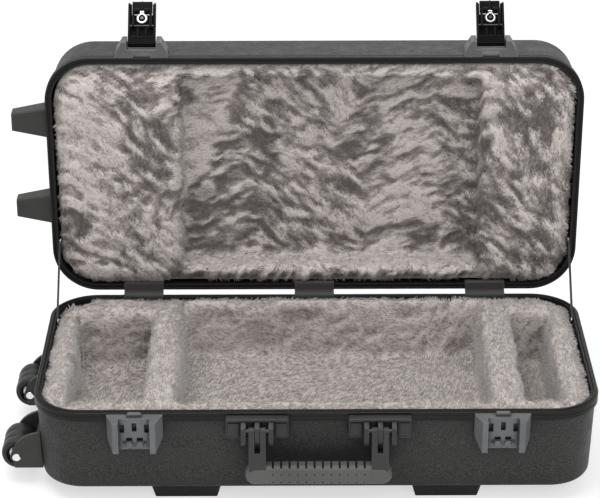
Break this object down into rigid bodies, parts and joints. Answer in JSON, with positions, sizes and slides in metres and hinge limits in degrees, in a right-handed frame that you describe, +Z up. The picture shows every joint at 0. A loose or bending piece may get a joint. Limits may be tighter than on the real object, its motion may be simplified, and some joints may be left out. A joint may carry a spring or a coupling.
{
  "type": "hard case",
  "caption": "Moulded hard case with hinged lid, plush-lined pockets, trigger latches with key locks, a swinging carry handle, end wheels and feet.",
  "frame": {"origin": "centre of the open case's outer box, on the floor under the feet", "axes": "+X along the case to the right, +Y to the back where the lid stands, +Z up"},
  "size_m": [0.7764, 0.4724, 0.5467],
  "materials": {
    "shell": "matte",
    "rim": "satin",
    "plush": "matte",
    "latch_grey": "satin",
    "black_plastic": "satin",
    "bright_steel": "polished",
    "dark_steel": "satin",
    "grip_grey": "matte",
    "wheel_rubber": "matte",
    "webbing": "matte"
  },
  "bodies": {
    "base": {"base_shell": "shell", "base_valance": "rim", "base_feet": "black_plastic", "lining_floor": "plush", "lining_left": "plush", "lining_right": "plush", "lining_front": "plush", "lining_back": "plush", "divider_left": "plush", "divider_right": "plush", "rear_block_left": "plush", "rear_block_right": "plush", "latch_keeper_left": "latch_grey", "latch_keeper_right": "latch_grey", "keeper_screws": "dark_steel", "handle_bracket_left": "black_plastic", "handle_bracket_right": "black_plastic", "handle_pins": "dark_steel", "wheel_housing_front": "black_plastic", "wheel_housing_rear": "black_plastic", "wheel_axles": "bright_steel", "base_hinge_leaves": "bright_steel", "hinge_pins": "bright_steel", "base_stay_rivets": "bright_steel", "lid_stay_left": "webbing", "lid_stay_right": "webbing", "hinge_flap_left": "webbing", "hinge_flap_middle": "webbing", "hinge_flap_right": "webbing"},
    "lid": {"lid_shell": "shell", "lid_valance": "rim", "lid_lining_panel": "plush", "lid_lining_left": "plush", "lid_lining_right": "plush", "lid_lining_front": "plush", "lid_lining_rear": "plush", "latch_housing_left": "latch_grey", "latch_housing_right": "latch_grey", "lever_pins": "dark_steel", "lid_stand_feet": "black_plastic", "lid_hinge_leaves": "bright_steel", "lid_stay_rivets": "bright_steel"},
    "lever_left": {"latch_lever_left": "black_plastic", "trigger_pin_left": "dark_steel"},
    "lever_right": {"latch_lever_right": "black_plastic", "trigger_pin_right": "dark_steel"},
    "trigger_left": {"latch_trigger_left": "black_plastic"},
    "trigger_right": {"latch_trigger_right": "black_plastic"},
    "lock_left": {"latch_lock_left": "bright_steel"},
    "lock_right": {"latch_lock_right": "bright_steel"},
    "carry_handle": {"handle_frame": "black_plastic", "handle_grip": "grip_grey"},
    "wheel_front": {"wheel_hub_front": "bright_steel", "wheel_tyre_front": "wheel_rubber"},
    "wheel_rear": {"wheel_hub_rear": "bright_steel", "wheel_tyre_rear": "wheel_rubber"}
  },
  "joints": [
    {"name": "lid_hinge", "type": "hinge", "parent": "base", "child": "lid", "pos_m": [0.02425, 0.14225, 0.1375], "axis": [1, 0, 0], "range_deg": [0, 90], "deforming": ["lid_stay_left", "lid_stay_right", "hinge_flap_left", "hinge_flap_middle", "hinge_flap_right"]},
    {"name": "carry_handle_swing", "type": "hinge", "parent": "base", "child": "carry_handle", "pos_m": [0.02675, -0.22025, 0.1185], "axis": [-1, 0, 0], "range_deg": [0, 90]},
    {"name": "lever_left_turn", "type": "hinge", "parent": "lid", "child": "lever_left", "pos_m": [-0.20675, 0.15575, 0.503], "axis": [1, 0, 0], "range_deg": [0, 132]},
    {"name": "trigger_left_pull", "type": "hinge", "parent": "lever_left", "child": "trigger_left", "pos_m": [-0.20675, 0.17043, 0.5214], "axis": [-1, 0, 0], "range_deg": [0, 12], "stiffness_Nm_per_rad": 0.5},
    {"name": "lock_left_turn", "type": "hinge", "parent": "lever_left", "child": "lock_left", "pos_m": [-0.20675, 0.1785, 0.52827], "axis": [0, 0.7431, -0.6691], "range_deg": [0, 90]},
    {"name": "lever_right_turn", "type": "hinge", "parent": "lid", "child": "lever_right", "pos_m": [0.26025, 0.15575, 0.503], "axis": [1, 0, 0], "range_deg": [0, 132]},
    {"name": "trigger_right_pull", "type": "hinge", "parent": "lever_right", "child": "trigger_right", "pos_m": [0.26025, 0.17043, 0.5214], "axis": [-1, 0, 0], "range_deg": [0, 12], "stiffness_Nm_per_rad": 0.5},
    {"name": "lock_right_turn", "type": "hinge", "parent": "lever_right", "child": "lock_right", "pos_m": [0.26025, 0.1785, 0.52827], "axis": [0, 0.7431, -0.6691], "range_deg": [0, 90]},
    {"name": "wheel_front_roll", "type": "hinge", "parent": "base", "child": "wheel_front", "pos_m": [-0.36725, -0.119, 0.042], "axis": [0, 1, 0], "continuous": true},
    {"name": "wheel_rear_roll", "type": "hinge", "parent": "base", "child": "wheel_rear", "pos_m": [-0.36725, 0.0505, 0.042], "axis": [0, 1, 0], "continuous": true}
  ]
}
